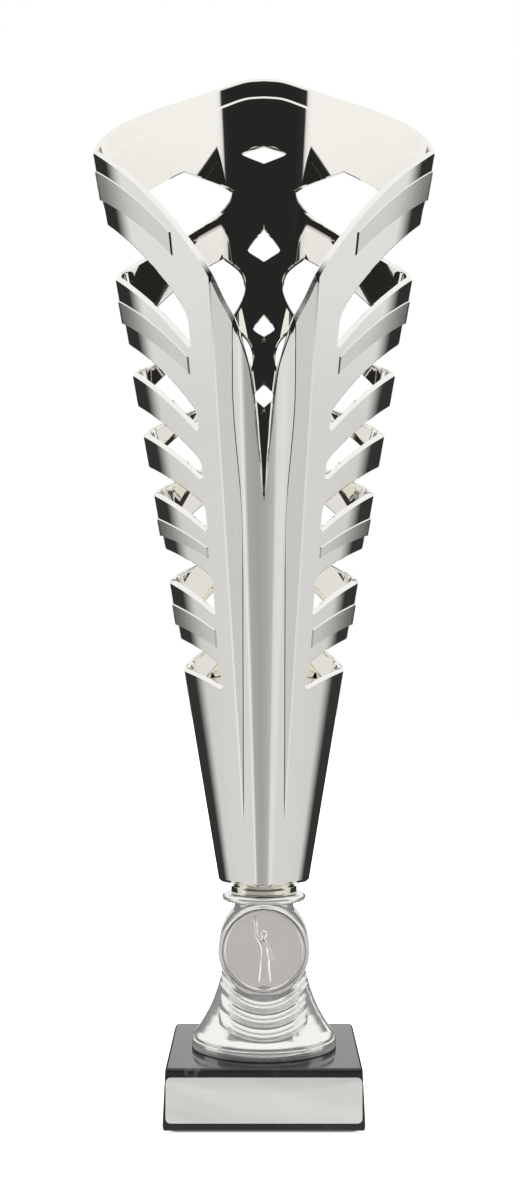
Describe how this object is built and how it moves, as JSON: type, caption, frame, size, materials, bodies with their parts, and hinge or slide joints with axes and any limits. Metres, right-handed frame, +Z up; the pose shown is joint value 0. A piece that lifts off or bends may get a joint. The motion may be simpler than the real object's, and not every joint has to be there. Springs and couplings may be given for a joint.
{
  "type": "column trophy cup",
  "caption": "Tall pierced conical trophy cup with feather-like side fins, a medal riser, a square marble base and a blank plate.",
  "frame": {"origin": "middle of the underside, on the surface that the trophy stands on", "axes": "+Z up the trophy, +Y towards the high back of the cup, +X to the right seen from the front"},
  "size_m": [0.107, 0.0927, 0.3385],
  "materials": {
    "marble": "polished black marble with faint pale veins",
    "felt": "black felt",
    "plate": "brushed silver",
    "tape": "white foam tape",
    "riser_plating": "bright silver plating on plastic",
    "medal": "satin silver relief",
    "collar_plating": "bright warm silver plating on plastic",
    "cup_plating": "mirror and satin silver plating on plastic",
    "steel": "zinc plated"
  },
  "bodies": {
    "root": {"marble_base": "marble", "base_felt": "felt", "engraving_plate": "plate", "plate_tape": "tape", "riser": "riser_plating", "centre_medal": "medal", "medal_tape": "tape", "collar": "collar_plating", "cup": "cup_plating", "threaded_rod": "steel", "base_washer": "steel", "base_spring_washer": "steel", "base_nut": "steel", "cup_washer": "steel", "cup_nut": "steel"}
  },
  "joints": []
}
